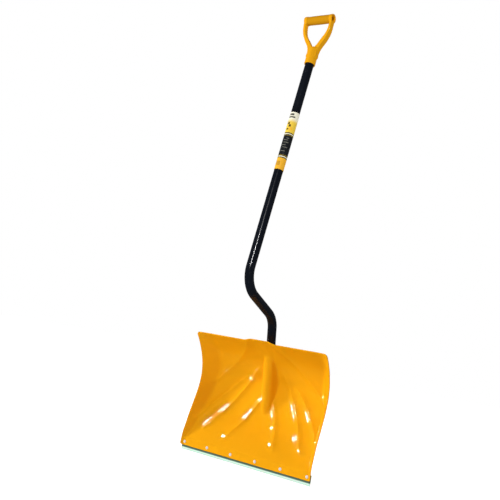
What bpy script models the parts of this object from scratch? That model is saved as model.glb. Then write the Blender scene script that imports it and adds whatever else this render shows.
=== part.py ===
"""Snow shovel: moulded scoop blade, riveted wear strip, bent steel shaft and D-grip.

Metres, +Z up along the shovel. The origin is the middle of the cutting edge, which is the
lower face of the wear strip. The hollow side of the scoop faces -Y, and +X is to the right
of someone who looks into the scoop.
"""

import math

import bmesh
import bpy
from mathutils import Matrix, Vector

# Fits
GAP = 0.0003
CUT_MARGIN = 0.010
MERGE = 0.00005
SMOOTH_ANGLE = math.radians(40)

# Wear strip and blade sheet; heights are above the cutting edge
BLADE_WIDTH = 0.457
BLADE_TOP = 0.3563
SHEET = 0.003
STRIP_THICKNESS = 0.0035
STRIP_SHOWING = 0.0135
STRIP_BEHIND = 0.0160
STRIP_ROUNDING = 0.0007
HALF_WIDTH = BLADE_WIDTH / 2
LIP_Y = -(STRIP_THICKNESS / 2 + GAP + SHEET)
LIP_Z = STRIP_SHOWING

# Outline of the blade sheet; its lowest band is flat and upright behind the rivets
BAND_TOP = 0.033
TOP_CORNER = 0.009
LOWER_CORNER = 0.004
HUMP_HEIGHT = 0.0055
HUMP_FLAT = 0.026
HUMP_HALF_WIDTH = 0.058
HUMP_START = 0.309
EDGE_PLACE = (
    (LIP_Z, 0.2292),
    (0.054, 0.2276),
    (0.110, 0.2256),
    (0.200, 0.2242),
    (0.280, 0.2264),
    (0.320, 0.2282),
    (BLADE_TOP, 0.2298),
)

# Depth of the scoop behind the lip, against height, at the middle and at the side edges
PLATE_PROFILE = (
    (LIP_Z, 0.000),
    (BAND_TOP, 0.000),
    (0.049, 0.008),
    (0.069, 0.022),
    (0.134, 0.069),
    (0.169, 0.079),
    (0.239, 0.087),
    (0.274, 0.076),
    (0.299, 0.062),
    (0.319, 0.043),
    (0.334, 0.023),
    (BLADE_TOP, -0.019),
)
SIDE_PROFILE = (
    (LIP_Z, -0.0060),
    (BAND_TOP, -0.0060),
    (0.054, -0.0049),
    (0.072, -0.0011),
    (0.109, 0.0065),
    (0.146, 0.0165),
    (0.203, 0.0291),
    (0.230, 0.0308),
    (0.259, 0.0270),
    (0.296, 0.0140),
    (0.331, -0.0062),
    (BLADE_TOP, -0.0260),
)

# Where the plate turns up into its flanks: sideways place, and depth behind the side edge
CREASE_PLACE = (
    (LIP_Z, 0.2240),
    (BAND_TOP, 0.2236),
    (0.060, 0.2130),
    (0.089, 0.2085),
    (0.119, 0.2060),
    (0.159, 0.2010),
    (0.199, 0.1960),
    (0.259, 0.1850),
    (0.309, 0.1890),
    (BLADE_TOP, 0.2000),
)
CREASE_DEPTH = (
    (LIP_Z, 0.0060),
    (BAND_TOP, 0.0060),
    (0.059, 0.018),
    (0.089, 0.028),
    (0.119, 0.034),
    (0.159, 0.042),
    (0.199, 0.046),
    (0.259, 0.048),
    (0.309, 0.045),
    (0.341, 0.024),
    (BLADE_TOP, 0.006),
)
CREASE_ROUNDING = 0.20

# Stiffening ribs: where the crest starts beside the middle (x, height), how far it runs out
# for each metre down, how that run-out bends, the lowest height, the rib's height and width
RIBS = (
    (0.035, 0.359, 1.27, -1.0, 0.199, 0.0055, 0.012),
    (0.095, 0.244, 1.05, -1.7, 0.064, 0.0050, 0.012),
    (0.045, 0.279, 0.62, 0.0, 0.062, 0.0055, 0.012),
    (0.020, 0.194, 0.50, 0.0, 0.052, 0.0050, 0.011),
)
RIB_FADE = 0.030

# Mesh density of the blade sheet
PLATE_COLUMNS = 36
FLANK_COLUMNS = 8
FLANK_START = 0.79
BAND_ROWS = 2
PLATE_ROWS = 25
CORNER_ROWS = 4

# Shaft: centreline corners (y, z) above the cutting edge, and the bend radius at each
TUBE_RADIUS = 0.0135
TUBE_WALL = 0.0012
TUBE_SIDES = 24
BEND_STEPS = 9
SHAFT_LEAN = 0.17711
SHAFT_FOOT_Z = 0.214
SHAFT_TOP_Z = 1.262
UPPER_CORNER = Vector((0.0, -0.1424, 0.5089))
LOWER_CORNER_POINT = Vector((0.0, 0.0254, 0.4351))
UPPER_BEND = 0.0726
LOWER_BEND = 0.058
SOCKET_LEAN = -0.200

# Socket moulded into the blade
SOCKET_WALL = 0.003
SOCKET_TOP_Z = 0.357
SOCKET_LENGTH = 0.150
SOCKET_NOSE = 0.050
SOCKET_NOSE_RADIUS = 0.007
SOCKET_STEPS = 32

# D-grip, measured along and across the upper end of the shaft
GRIP_FOOT_Z = 1.2121
COLLAR_RADIUS = 0.0172
COLLAR_LENGTH = 0.0515
COLLAR_TAPER = 0.96
COLLAR_DOME = 0.009
BAR_RISE = 0.1511
BAR_FORWARD = 0.0137
BAR_RADIUS = 0.0143
BAR_HALF_LENGTH = 0.0495
BAR_RECESS_RADIUS = 0.0103
BAR_RECESS_DEPTH = 0.012
ARM_DEPTH = 0.018
ARM_ROUNDING = 0.0022
ARM_OUTER = (
    (0.0492, 0.1556),
    (0.0497, 0.1346),
    (0.0462, 0.1066),
    (0.0360, 0.0836),
    (0.0212, 0.0590),
    (0.0166, 0.0400),
    (0.0158, 0.0240),
)
ARM_INNER = (
    (0.0417, 0.1466),
    (0.0414, 0.1286),
    (0.0365, 0.1056),
    (0.0215, 0.0836),
    (0.0080, 0.0635),
)
CROTCH_RISE = 0.0550

# Rivets, their washers and the two screws
RIVET_COUNT = 6
RIVET_PITCH = 0.087
RIVET_RISE = 0.0102
RIVET_HEAD_RADIUS = 0.0045
RIVET_HEAD_HEIGHT = 0.0017
RIVET_SHANK_RADIUS = 0.0020
RIVET_TAIL_RADIUS = 0.0034
RIVET_TAIL_HEIGHT = 0.0014
RIVET_STEPS = 16
WASHER_RADIUS = 0.0052
WASHER_THICKNESS = 0.0010
SCREW_HEAD_RADIUS = 0.0048
SCREW_HEAD_HEIGHT = 0.0026
SCREW_SHANK_RADIUS = 0.0020
SCREW_LENGTH = 0.0120
SCREW_DRIVE_RADIUS = 0.0018
SCREW_DRIVE_DEPTH = 0.0014
SOCKET_SCREW_Z = 0.305
GRIP_SCREW_RISE = 0.022

# Printed sleeve on the shaft
LABEL_LOW_Z = 0.859
LABEL_HIGH_Z = 1.044
LABEL_THICKNESS = 0.0003
LABEL_STEPS = 36

# Finishes: colour, roughness, metallic
BLADE_PLASTIC = ((0.89, 0.38, 0.010), 0.30, 0.0)
GRIP_PLASTIC = ((0.80, 0.33, 0.012), 0.38, 0.0)
STRIP_NYLON = ((0.72, 0.86, 0.80), 0.35, 0.0)
SHAFT_PAINT = ((0.012, 0.016, 0.024), 0.22, 0.0)
RIVET_METAL = ((0.80, 0.80, 0.80), 0.35, 1.0)
SCREW_STEEL = ((0.45, 0.45, 0.46), 0.40, 1.0)
LABEL_PRINT = ((0.80, 0.52, 0.05), 0.45, 0.0)

UP = Vector((0.0, 0.0, 1.0))


def clear_scene():
    """Remove whatever the scene holds."""
    for item in list(bpy.data.objects):
        bpy.data.objects.remove(item, do_unlink=True)


def new_collection(name):
    """Make a collection in the scene."""
    collection = bpy.data.collections.new(name)
    bpy.context.scene.collection.children.link(collection)
    return collection


def new_material(name, finish):
    """Make a Principled material from (colour, roughness, metallic)."""
    colour, roughness, metallic = finish
    made = bpy.data.materials.new(name)
    made.use_nodes = True
    shader = made.node_tree.nodes["Principled BSDF"]
    shader.inputs["Base Color"].default_value = (*colour, 1.0)
    shader.inputs["Roughness"].default_value = roughness
    shader.inputs["Metallic"].default_value = metallic
    return made


def new_part(name, mesh, finish):
    """Add a mesh as a sub-part with a material of its own."""
    part = bpy.data.objects.new(name, mesh)
    parts.objects.link(part)
    mesh.materials.clear()
    mesh.materials.append(new_material(name, finish))
    return part


def mesh_from(name, shape):
    """Turn a bmesh into mesh data."""
    shape.normal_update()
    mesh = bpy.data.meshes.new(name)
    shape.to_mesh(mesh)
    shape.free()
    return mesh


def shade_round(part):
    """Shade a part smooth and keep its real edges sharp."""
    part.data.shade_smooth()
    part.data.set_sharp_from_angle(angle=SMOOTH_ANGLE)


def new_cutter(name, mesh, matrix=None):
    """Add a helper solid that is joined to a part or cut from it."""
    cutter = bpy.data.objects.new(name, mesh)
    cutters.objects.link(cutter)
    cutter.hide_render = True
    cutter.display_type = "WIRE"
    if matrix is not None:
        cutter.matrix_world = matrix
    return cutter


def combine(part, helper, operation):
    """Join a helper solid to a part, or cut the helper out of it."""
    change = part.modifiers.new(operation.title() + "_" + helper.name, "BOOLEAN")
    change.operation = operation
    change.solver = "EXACT"
    change.object = helper


def cylinder_mesh(name, radius, length, sides=24):
    """A closed cylinder along +Z from the origin."""
    shape = bmesh.new()
    bmesh.ops.create_cone(
        shape,
        cap_ends=True,
        segments=sides,
        radius1=radius,
        radius2=radius,
        depth=length,
        matrix=Matrix.Translation(UP * length / 2),
    )
    return mesh_from(name, shape)


def turned_mesh(name, profile, steps):
    """Turn an outline of (radius, height) pairs, given from top to bottom, about Z."""
    shape = bmesh.new()
    corners = [shape.verts.new((radius, 0.0, height)) for radius, height in profile]
    for first, second in zip(corners, corners[1:]):
        shape.edges.new((first, second))
    outline = bpy.data.objects.new(name, mesh_from(name, shape))
    cutters.objects.link(outline)
    screw = outline.modifiers.new("Turn", "SCREW")
    screw.steps = steps
    screw.render_steps = steps
    screw.use_merge_vertices = True
    screw.merge_threshold = MERGE
    return baked_mesh(name, outline)


def baked_mesh(name, source, merge=False):
    """Copy an object's evaluated mesh into new mesh data and remove the object."""
    bpy.context.view_layer.update()
    evaluated = source.evaluated_get(bpy.context.evaluated_depsgraph_get())
    mesh = bpy.data.meshes.new_from_object(evaluated)
    mesh.name = name
    mesh.transform(source.matrix_world)
    bpy.data.objects.remove(source, do_unlink=True)
    if merge:
        shape = bmesh.new()
        shape.from_mesh(mesh)
        bmesh.ops.remove_doubles(shape, verts=shape.verts, dist=MERGE)
        shape.to_mesh(mesh)
        shape.free()
    return mesh


def smooth_curve(points, at):
    """Read a curve through (position, value) points that never overshoots them."""
    slopes = [(q[1] - p[1]) / (q[0] - p[0]) for p, q in zip(points, points[1:])]
    tangents = [slopes[0]]
    for before, after in zip(slopes, slopes[1:]):
        level = before * after <= 0.0
        tangents.append(0.0 if level else 2.0 * before * after / (before + after))
    tangents.append(slopes[-1])
    last = len(slopes) - 1
    index = next((i for i in range(last) if at < points[i + 1][0]), last)
    start, end = points[index], points[index + 1]
    span = end[0] - start[0]
    t = min(max((at - start[0]) / span, 0.0), 1.0)
    rise = t * t * (3.0 - 2.0 * t)
    leave = t * (1.0 - t) ** 2 * tangents[index]
    arrive = t * t * (t - 1.0) * tangents[index + 1]
    return start[1] + rise * (end[1] - start[1]) + span * (leave + arrive)


def smooth_step(value):
    """Ease from 0 to 1 as the value goes from 0 to 1."""
    t = min(max(value, 0.0), 1.0)
    return t * t * (3.0 - 2.0 * t)


def soft_minimum(first, second, rounding):
    """The lesser of two values, with the change from one to the other rounded."""
    blend = max(rounding - abs(first - second), 0.0) / rounding
    return min(first, second) - blend * blend * rounding / 4


def rib_height(x, z):
    """How far the stiffening ribs stand out of the plate towards the front."""
    total = 0.0
    for start_x, start_z, run_out, bend, end_z, rise, width in RIBS:
        down = start_z - z
        crest = start_x + run_out * down + bend * down * down
        slope = run_out + 2.0 * bend * down
        across = (abs(x) - crest) / math.sqrt(1.0 + slope * slope)
        fade = smooth_step(down / RIB_FADE + 0.5) * smooth_step((z - end_z) / RIB_FADE)
        total += rise * fade * math.exp(-((across / width) ** 2))
    return total


def scoop_depth(x, z):
    """Depth of the blade's front face behind the lip."""
    side = smooth_curve(SIDE_PROFILE, z)
    middle = smooth_curve(PLATE_PROFILE, z) - side
    crease = smooth_curve(CREASE_PLACE, z)
    edge = smooth_curve(EDGE_PLACE, z)
    share = soft_minimum((edge - abs(x)) / (edge - crease), 1.0, CREASE_ROUNDING)
    outward = min(abs(x) / crease, 1.0) ** 2
    plate = middle + (smooth_curve(CREASE_DEPTH, z) - middle) * outward
    return side + (plate - rib_height(x, z)) * share


def half_width_at(z):
    """Half the blade's width, less where its corners are rounded."""
    below = max(LIP_Z + LOWER_CORNER - z, 0.0)
    above = max(z - (BLADE_TOP - TOP_CORNER), 0.0)
    lower = LOWER_CORNER - math.sqrt(max(LOWER_CORNER**2 - below**2, 0.0))
    upper = TOP_CORNER - math.sqrt(max(TOP_CORNER**2 - above**2, 0.0))
    return smooth_curve(EDGE_PLACE, z) - lower - upper


def spread(start, end, count):
    """Evenly spaced values from start up to, but not including, end."""
    return [start + (end - start) * i / count for i in range(count)]


def row_heights():
    """Heights of the sheet's rows, close together at the rounded corners."""
    angles = spread(0.0, math.pi / 2, CORNER_ROWS)
    low = [LIP_Z + LOWER_CORNER * (1.0 - math.cos(angle)) for angle in angles]
    high = [BLADE_TOP - TOP_CORNER * (1.0 - math.cos(angle)) for angle in angles]
    band = spread(LIP_Z + LOWER_CORNER, BAND_TOP, BAND_ROWS)
    plate = spread(BAND_TOP, BLADE_TOP - TOP_CORNER, PLATE_ROWS)
    return low + band + plate + [BLADE_TOP - TOP_CORNER] + high[::-1]


def column_places():
    """Shares of the half width at the sheet's columns, close together on the flanks."""
    flank = spread(FLANK_START, 1.0, FLANK_COLUMNS) + [1.0]
    plate = spread(-FLANK_START, FLANK_START, PLATE_COLUMNS)
    return [-place for place in flank[:0:-1]] + plate + flank


def hump(x):
    """Extra height of the top edge where it passes over the socket."""
    return HUMP_HEIGHT * smooth_step((HUMP_HALF_WIDTH - abs(x)) / (HUMP_HALF_WIDTH - HUMP_FLAT))


def blade_sheet():
    """The blade's front face as an open surface."""
    rows = row_heights()
    columns = column_places()
    shape = bmesh.new()
    bmesh.ops.create_grid(
        shape, x_segments=len(columns) - 1, y_segments=len(rows) - 1, size=0.5
    )
    for vert in shape.verts:
        column = columns[round((vert.co.x + 0.5) * (len(columns) - 1))]
        row = rows[round((vert.co.y + 0.5) * (len(rows) - 1))]
        x = column * half_width_at(row)
        lift = smooth_step((row - HUMP_START) / (BLADE_TOP - HUMP_START))
        vert.co = (x, LIP_Y + scoop_depth(x, row), row + hump(x) * lift)
    return mesh_from("blade", shape)


def axis_place(corner, lean, z):
    """Place at height z on a leaning axis through a corner, with +Z up along the axis."""
    origin = corner + Vector((0.0, lean, 1.0)) * (z - corner.z)
    return Matrix.Translation(origin) @ Matrix.Rotation(-math.atan(lean), 4, "X")


def socket_matrix(z):
    """Place at height z on the axis of the socket and the shaft's foot."""
    return axis_place(LOWER_CORNER_POINT, SOCKET_LEAN, z)


def shaft_matrix(z):
    """Place at height z on the upper shaft's axis."""
    return axis_place(UPPER_CORNER, SHAFT_LEAN, z)


def facing_back(matrix, distance):
    """Place at a distance behind an axis, with +Z pointing away from the axis."""
    return matrix @ Matrix.Translation((0.0, distance, 0.0)) @ Matrix.Rotation(-math.pi / 2, 4, "X")


def socket_solid():
    """The socket's outer shape: a sleeve that ends in a rounded nose."""
    radius = TUBE_RADIUS + GAP + SOCKET_WALL
    profile = [(0.0, 0.0), (radius, 0.0), (radius, -SOCKET_LENGTH)]
    for step in range(1, 5):
        share = step / 4
        taper = SOCKET_NOSE_RADIUS + (radius - SOCKET_NOSE_RADIUS) * math.sqrt(1.0 - share**2)
        profile.append((taper, -SOCKET_LENGTH - SOCKET_NOSE * share))
    profile.append((0.0, -SOCKET_LENGTH - SOCKET_NOSE))
    mesh = turned_mesh("socket", profile, SOCKET_STEPS)
    return new_cutter("socket_solid", mesh, socket_matrix(SOCKET_TOP_Z))


def bore_cutter(name, matrix, depth, radius):
    """A cylinder that enters downwards along a matrix's axis, from above its origin."""
    mesh = cylinder_mesh(name, radius, depth + CUT_MARGIN, SOCKET_STEPS)
    return new_cutter(name, mesh, matrix @ Matrix.Translation(-UP * depth))


def rivet_places():
    """Points on the blade's front face where the rivets sit."""
    first = -(RIVET_COUNT - 1) / 2
    return [
        Vector(((first + i) * RIVET_PITCH, LIP_Y, LIP_Z + RIVET_RISE)) for i in range(RIVET_COUNT)
    ]


def facing_front(point):
    """Place at a point, with +Z pointing out of the blade's front face."""
    return Matrix.Translation(point) @ Matrix.Rotation(math.pi / 2, 4, "X")


def rivet_hole_cutters():
    """Cylinders through the blade sheet and the wear strip, one for each rivet."""
    depth = SHEET + GAP + STRIP_THICKNESS + CUT_MARGIN
    found = []
    for index, point in enumerate(rivet_places(), 1):
        name = f"rivet_hole_{index}"
        mesh = cylinder_mesh(name, RIVET_SHANK_RADIUS + GAP, depth + CUT_MARGIN, RIVET_STEPS)
        lowered = facing_front(point) @ Matrix.Translation(-UP * depth)
        found.append(new_cutter(name, mesh, lowered))
    return found


def make_blade(holes):
    """The moulded blade: thickened sheet, socket, bore, rivet holes and screw hole."""
    blade = new_part("blade", blade_sheet(), BLADE_PLASTIC)
    shell = blade.modifiers.new("Sheet", "SOLIDIFY")
    shell.thickness = SHEET
    shell.offset = -1.0
    combine(blade, socket_solid(), "UNION")
    bore_depth = (SOCKET_TOP_Z - SHAFT_FOOT_Z) / math.cos(math.atan(SOCKET_LEAN))
    bore = bore_cutter("socket_bore", socket_matrix(SOCKET_TOP_Z), bore_depth, TUBE_RADIUS + GAP)
    combine(blade, bore, "DIFFERENCE")
    for hole in holes:
        combine(blade, hole, "DIFFERENCE")
    combine(blade, screw_hole("socket_screw_hole", socket_matrix(SOCKET_SCREW_Z)), "DIFFERENCE")
    shade_round(blade)
    return blade


def make_wear_strip(holes):
    """The flat nylon strip riveted behind the lip; its lower face is the cutting edge."""
    shape = bmesh.new()
    size = (BLADE_WIDTH, STRIP_THICKNESS, STRIP_SHOWING + STRIP_BEHIND)
    centre = Vector((0.0, 0.0, size[2] / 2))
    matrix = Matrix.Translation(centre) @ Matrix.Diagonal((*size, 1.0))
    bmesh.ops.create_cube(shape, size=1.0, matrix=matrix)
    strip = new_part("wear_strip", mesh_from("wear_strip", shape), STRIP_NYLON)
    rounding = strip.modifiers.new("Edges", "BEVEL")
    rounding.width = STRIP_ROUNDING
    rounding.segments = 2
    for hole in holes:
        combine(strip, hole, "DIFFERENCE")
    return strip


def dome(radius, height, base, steps=4):
    """A domed head's profile of (radius, height) pairs, from its top down to its base."""
    angles = [math.pi / 2 * step / steps for step in range(steps + 1)]
    return [(radius * math.sin(a), base + height * math.cos(a)) for a in angles]


def make_rivets():
    """Rivets with a domed head in front and an upset tail behind the washer."""
    strip_back = -(SHEET + GAP + STRIP_THICKNESS)
    washer_front = strip_back - GAP
    washer_back = washer_front - WASHER_THICKNESS
    tail = washer_back - GAP
    rivet_profile = dome(RIVET_HEAD_RADIUS, RIVET_HEAD_HEIGHT, GAP) + [
        (RIVET_SHANK_RADIUS, GAP),
        (RIVET_SHANK_RADIUS, tail),
        (RIVET_TAIL_RADIUS, tail),
        (RIVET_TAIL_RADIUS, tail - RIVET_TAIL_HEIGHT / 2),
        (RIVET_SHANK_RADIUS, tail - RIVET_TAIL_HEIGHT),
        (0.0, tail - RIVET_TAIL_HEIGHT),
    ]
    hole = RIVET_SHANK_RADIUS + GAP
    washer_profile = [
        (hole, washer_front),
        (WASHER_RADIUS, washer_front),
        (WASHER_RADIUS, washer_back),
        (hole, washer_back),
        (hole, washer_front),
    ]
    rivet_mesh = turned_mesh("rivet", rivet_profile, RIVET_STEPS)
    washer_mesh = turned_mesh("rivet_washer", washer_profile, RIVET_STEPS)
    for index, point in enumerate(rivet_places(), 1):
        for name, mesh in (("rivet", rivet_mesh), ("rivet_washer", washer_mesh)):
            part = new_part(f"{name}_{index}", mesh.copy(), RIVET_METAL)
            part.matrix_world = facing_front(point)
            shade_round(part)


def filleted_path(points, radii):
    """Points along straight runs whose inner corners are replaced by arcs."""
    path = [points[0]]
    for before, corner, after, radius in zip(points, points[1:], points[2:], radii):
        back = (before - corner).normalized()
        ahead = (after - corner).normalized()
        half_turn = (math.pi - back.angle(ahead)) / 2
        middle = (back + ahead).normalized()
        centre = corner + middle * (radius / math.cos(half_turn))
        for step in range(BEND_STEPS + 1):
            angle = half_turn * (2.0 * step / BEND_STEPS - 1.0)
            along = (ahead - back).normalized()
            path.append(centre + radius * (math.sin(angle) * along - math.cos(angle) * middle))
    return path + [points[-1]]


def make_shaft():
    """The bent steel tube, open at both ends."""
    top = shaft_matrix(SHAFT_TOP_Z).translation
    foot = socket_matrix(SHAFT_FOOT_Z + GAP).translation
    route = filleted_path(
        [top, UPPER_CORNER, LOWER_CORNER_POINT, foot], [UPPER_BEND, LOWER_BEND]
    )
    curve = bpy.data.curves.new("shaft", "CURVE")
    curve.dimensions = "3D"
    curve.bevel_depth = TUBE_RADIUS
    curve.bevel_resolution = (TUBE_SIDES - 4) // 2
    spline = curve.splines.new("POLY")
    spline.points.add(len(route) - 1)
    for point, place in zip(spline.points, route):
        point.co = (*place, 1.0)
    guide = bpy.data.objects.new("shaft_curve", curve)
    cutters.objects.link(guide)
    shaft = new_part("shaft", baked_mesh("shaft", guide, merge=True), SHAFT_PAINT)
    wall = shaft.modifiers.new("Wall", "SOLIDIFY")
    wall.thickness = TUBE_WALL
    wall.offset = -1.0
    combine(shaft, screw_hole("shaft_foot_hole", socket_matrix(SOCKET_SCREW_Z)), "DIFFERENCE")
    combine(shaft, screw_hole("shaft_top_hole", grip_screw_place()), "DIFFERENCE")
    shade_round(shaft)
    return shaft


def grip_matrix():
    """Frame of the D-grip: its origin is at the foot of the collar, on the shaft's axis."""
    return shaft_matrix(GRIP_FOOT_Z)


def grip_screw_place():
    """Place on the grip's axis that is level with its screw."""
    return grip_matrix() @ Matrix.Translation(UP * GRIP_SCREW_RISE)


def mirrored_outline(side, foot=()):
    """A closed outline from its right side, listed from top to bottom, and any middle foot."""
    return [*side, *foot, *((-x, rise) for x, rise in reversed(side))]


def arm_shift(rise):
    """How far the arms lean forward of the shaft's axis at a height above the collar's foot."""
    return -BAR_FORWARD * smooth_step((rise - COLLAR_LENGTH) / (BAR_RISE - COLLAR_LENGTH))


def grip_frame_mesh():
    """Both arms and the yoke of the D-grip: a flat outline with a hand gap, leaned forward."""
    curve = bpy.data.curves.new("grip_arms", "CURVE")
    curve.dimensions = "2D"
    curve.fill_mode = "BOTH"
    curve.extrude = ARM_DEPTH / 2
    curve.resolution_u = 4
    outlines = (
        mirrored_outline(ARM_OUTER),
        mirrored_outline(ARM_INNER, foot=[(0.0, CROTCH_RISE)]),
    )
    for outline in outlines:
        spline = curve.splines.new("BEZIER")
        spline.use_cyclic_u = True
        spline.bezier_points.add(len(outline) - 1)
        for point, place in zip(spline.bezier_points, outline):
            point.co = (*place, 0.0)
            level_top = place[1] == outline[0][1]
            point.handle_left_type = "VECTOR" if level_top else "AUTO"
            point.handle_right_type = "VECTOR" if level_top else "AUTO"
    guide = bpy.data.objects.new("grip_curve", curve)
    cutters.objects.link(guide)
    mesh = baked_mesh("grip_arms", guide, merge=True)
    mesh.transform(Matrix.Rotation(math.pi / 2, 4, "X"))
    for vert in mesh.vertices:
        vert.co.y += arm_shift(vert.co.z)
    return mesh


def collar_mesh():
    """The collar's outer shape: a slight cone that ends in a dome between the arms."""
    shoulder = COLLAR_RADIUS * COLLAR_TAPER
    profile = dome(shoulder, COLLAR_DOME, COLLAR_LENGTH) + [(COLLAR_RADIUS, 0.0), (0.0, 0.0)]
    return turned_mesh("collar", profile, SOCKET_STEPS)


def crossways(matrix, x, forward, rise):
    """Place in front of an axis, with +Z pointing to +X."""
    shift = Matrix.Translation((x, -forward, rise))
    return matrix @ shift @ Matrix.Rotation(math.pi / 2, 4, "Y")


def make_grip():
    """The D-grip: arms, round bar and collar in one moulding."""
    base = grip_matrix()
    grip = new_part("d_grip", grip_frame_mesh(), GRIP_PLASTIC)
    grip.matrix_world = base
    rounding = grip.modifiers.new("Arm_edges", "BEVEL")
    rounding.width = ARM_ROUNDING
    rounding.segments = 2
    rounding.limit_method = "ANGLE"
    rounding.angle_limit = math.radians(60)
    combine(grip, new_cutter("collar_solid", collar_mesh(), base), "UNION")
    bar = cylinder_mesh("bar", BAR_RADIUS, 2 * BAR_HALF_LENGTH, SOCKET_STEPS)
    place = crossways(base, -BAR_HALF_LENGTH, BAR_FORWARD, BAR_RISE)
    combine(grip, new_cutter("bar_solid", bar, place), "UNION")
    recess = cylinder_mesh("recess", BAR_RECESS_RADIUS, BAR_RECESS_DEPTH + CUT_MARGIN)
    for side, start in (("left", -CUT_MARGIN), ("right", -BAR_RECESS_DEPTH)):
        end = -BAR_HALF_LENGTH if side == "left" else BAR_HALF_LENGTH
        place = crossways(base, end + start, BAR_FORWARD, BAR_RISE)
        combine(grip, new_cutter(f"recess_{side}", recess, place), "DIFFERENCE")
    bore_depth = (SHAFT_TOP_Z - GRIP_FOOT_Z) / math.cos(math.atan(SHAFT_LEAN)) + GAP
    bore = cylinder_mesh("grip_bore", TUBE_RADIUS + GAP, bore_depth + CUT_MARGIN, SOCKET_STEPS)
    place = base @ Matrix.Translation(-UP * CUT_MARGIN)
    combine(grip, new_cutter("grip_bore", bore, place), "DIFFERENCE")
    combine(grip, screw_hole("grip_screw_hole", grip_screw_place()), "DIFFERENCE")
    shade_round(grip)
    return grip


def screw_hole(name, axis_place):
    """A cylinder from a hollow axis out through the back wall, a fit wider than the screw."""
    mesh = cylinder_mesh(name, SCREW_SHANK_RADIUS + GAP, TUBE_RADIUS * 2, RIVET_STEPS)
    return new_cutter(name, mesh, facing_back(axis_place, TUBE_RADIUS / 2))


def make_screw(name, axis_place, wall_radius):
    """A pan-head screw driven in from the back, through the wall and into the tube."""
    profile = dome(SCREW_HEAD_RADIUS, SCREW_HEAD_HEIGHT, GAP) + [
        (SCREW_SHANK_RADIUS, GAP),
        (SCREW_SHANK_RADIUS, -SCREW_LENGTH + SCREW_SHANK_RADIUS),
        (0.0, -SCREW_LENGTH),
    ]
    screw = new_part(name, turned_mesh(name, profile, RIVET_STEPS), SCREW_STEEL)
    screw.matrix_world = facing_back(axis_place, wall_radius)
    drive = cylinder_mesh(name + "_drive", SCREW_DRIVE_RADIUS, SCREW_HEAD_HEIGHT + CUT_MARGIN, 6)
    floor = GAP + SCREW_HEAD_HEIGHT - SCREW_DRIVE_DEPTH
    place = screw.matrix_world @ Matrix.Translation(UP * floor)
    combine(screw, new_cutter(name + "_drive", drive, place), "DIFFERENCE")
    shade_round(screw)
    return screw


def make_label():
    """The printed sleeve round the upper shaft."""
    inner = TUBE_RADIUS + GAP
    outer = inner + LABEL_THICKNESS
    length = (LABEL_HIGH_Z - LABEL_LOW_Z) / math.cos(math.atan(SHAFT_LEAN))
    profile = [(inner, length), (outer, length), (outer, 0.0), (inner, 0.0), (inner, length)]
    label = new_part("shaft_label", turned_mesh("shaft_label", profile, LABEL_STEPS), LABEL_PRINT)
    label.matrix_world = shaft_matrix(LABEL_LOW_Z)
    shade_round(label)
    return label


def make_shovel():
    """Every sub-part of the shovel."""
    holes = rivet_hole_cutters()
    make_blade(holes)
    make_wear_strip(holes)
    make_rivets()
    make_shaft()
    make_grip()
    make_screw("socket_screw", socket_matrix(SOCKET_SCREW_Z), TUBE_RADIUS + GAP + SOCKET_WALL)
    make_screw("grip_screw", grip_screw_place(), COLLAR_RADIUS)
    make_label()


clear_scene()
parts = new_collection("snow_shovel")
cutters = new_collection("cutters")
make_shovel()
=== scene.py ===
"""Snow shovel: the looks of a scoop shovel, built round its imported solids.

Metres, +Z up along the shovel. The hollow side of the scoop faces -Y. The file is laid out
as a Blender add-on and is run as a script.
"""

import math

import bpy
import numpy as np
from bpy.props import FloatProperty, FloatVectorProperty, PointerProperty
from mathutils import Matrix, Vector


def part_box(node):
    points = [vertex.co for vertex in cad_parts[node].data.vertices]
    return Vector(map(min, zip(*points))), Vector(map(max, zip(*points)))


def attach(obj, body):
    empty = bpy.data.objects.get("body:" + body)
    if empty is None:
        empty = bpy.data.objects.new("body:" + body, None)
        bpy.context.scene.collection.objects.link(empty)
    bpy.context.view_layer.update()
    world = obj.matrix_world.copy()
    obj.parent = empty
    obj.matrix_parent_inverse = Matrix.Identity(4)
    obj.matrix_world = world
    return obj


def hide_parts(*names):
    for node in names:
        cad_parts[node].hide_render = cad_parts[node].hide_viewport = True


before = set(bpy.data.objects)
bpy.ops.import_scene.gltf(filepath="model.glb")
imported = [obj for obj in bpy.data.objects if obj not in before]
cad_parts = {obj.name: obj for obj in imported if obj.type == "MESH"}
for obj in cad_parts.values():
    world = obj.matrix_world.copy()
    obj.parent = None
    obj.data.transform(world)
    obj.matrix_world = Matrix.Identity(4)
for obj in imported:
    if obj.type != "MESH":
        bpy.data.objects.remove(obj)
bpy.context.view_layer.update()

bl_info = {
    "name": "Snow Shovel",
    "version": (1, 0, 0),
    "blender": (4, 5, 0),
    "location": "3D View > Sidebar > Shovel",
    "description": "Models a scoop snow shovel and a plain studio round its solid parts",
    "category": "Object",
}

UP = Vector((0.0, 0.0, 1.0))
# Gap between pieces that touch, and how close two points are when they are merged
FIT = 0.0003
MERGE = 0.00002

# Places that the solids give
STRIP_LOW, STRIP_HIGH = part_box("wear_strip")
LABEL_LOW, LABEL_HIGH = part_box("shaft_label")
LIP_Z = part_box("blade")[0].z
TUBE_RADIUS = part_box("shaft")[1].x

# Outline of the blade's sheet, with heights above the wear strip's lower face; the lowest
# band is flat and upright, where the rivets go through it
BLADE_TOP = 0.3563
BAND_TOP = 0.033
TOP_CORNER = 0.009
LOWER_CORNER = 0.004
HUMP_HEIGHT = 0.0055
HUMP_FLAT = 0.026
HUMP_HALF_WIDTH = 0.058
HUMP_START = 0.309
EDGE_PLACE = (
    (LIP_Z, 0.2292),
    (0.054, 0.2276),
    (0.110, 0.2256),
    (0.200, 0.2242),
    (0.280, 0.2264),
    (0.320, 0.2282),
    (BLADE_TOP, 0.2298),
)

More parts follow.
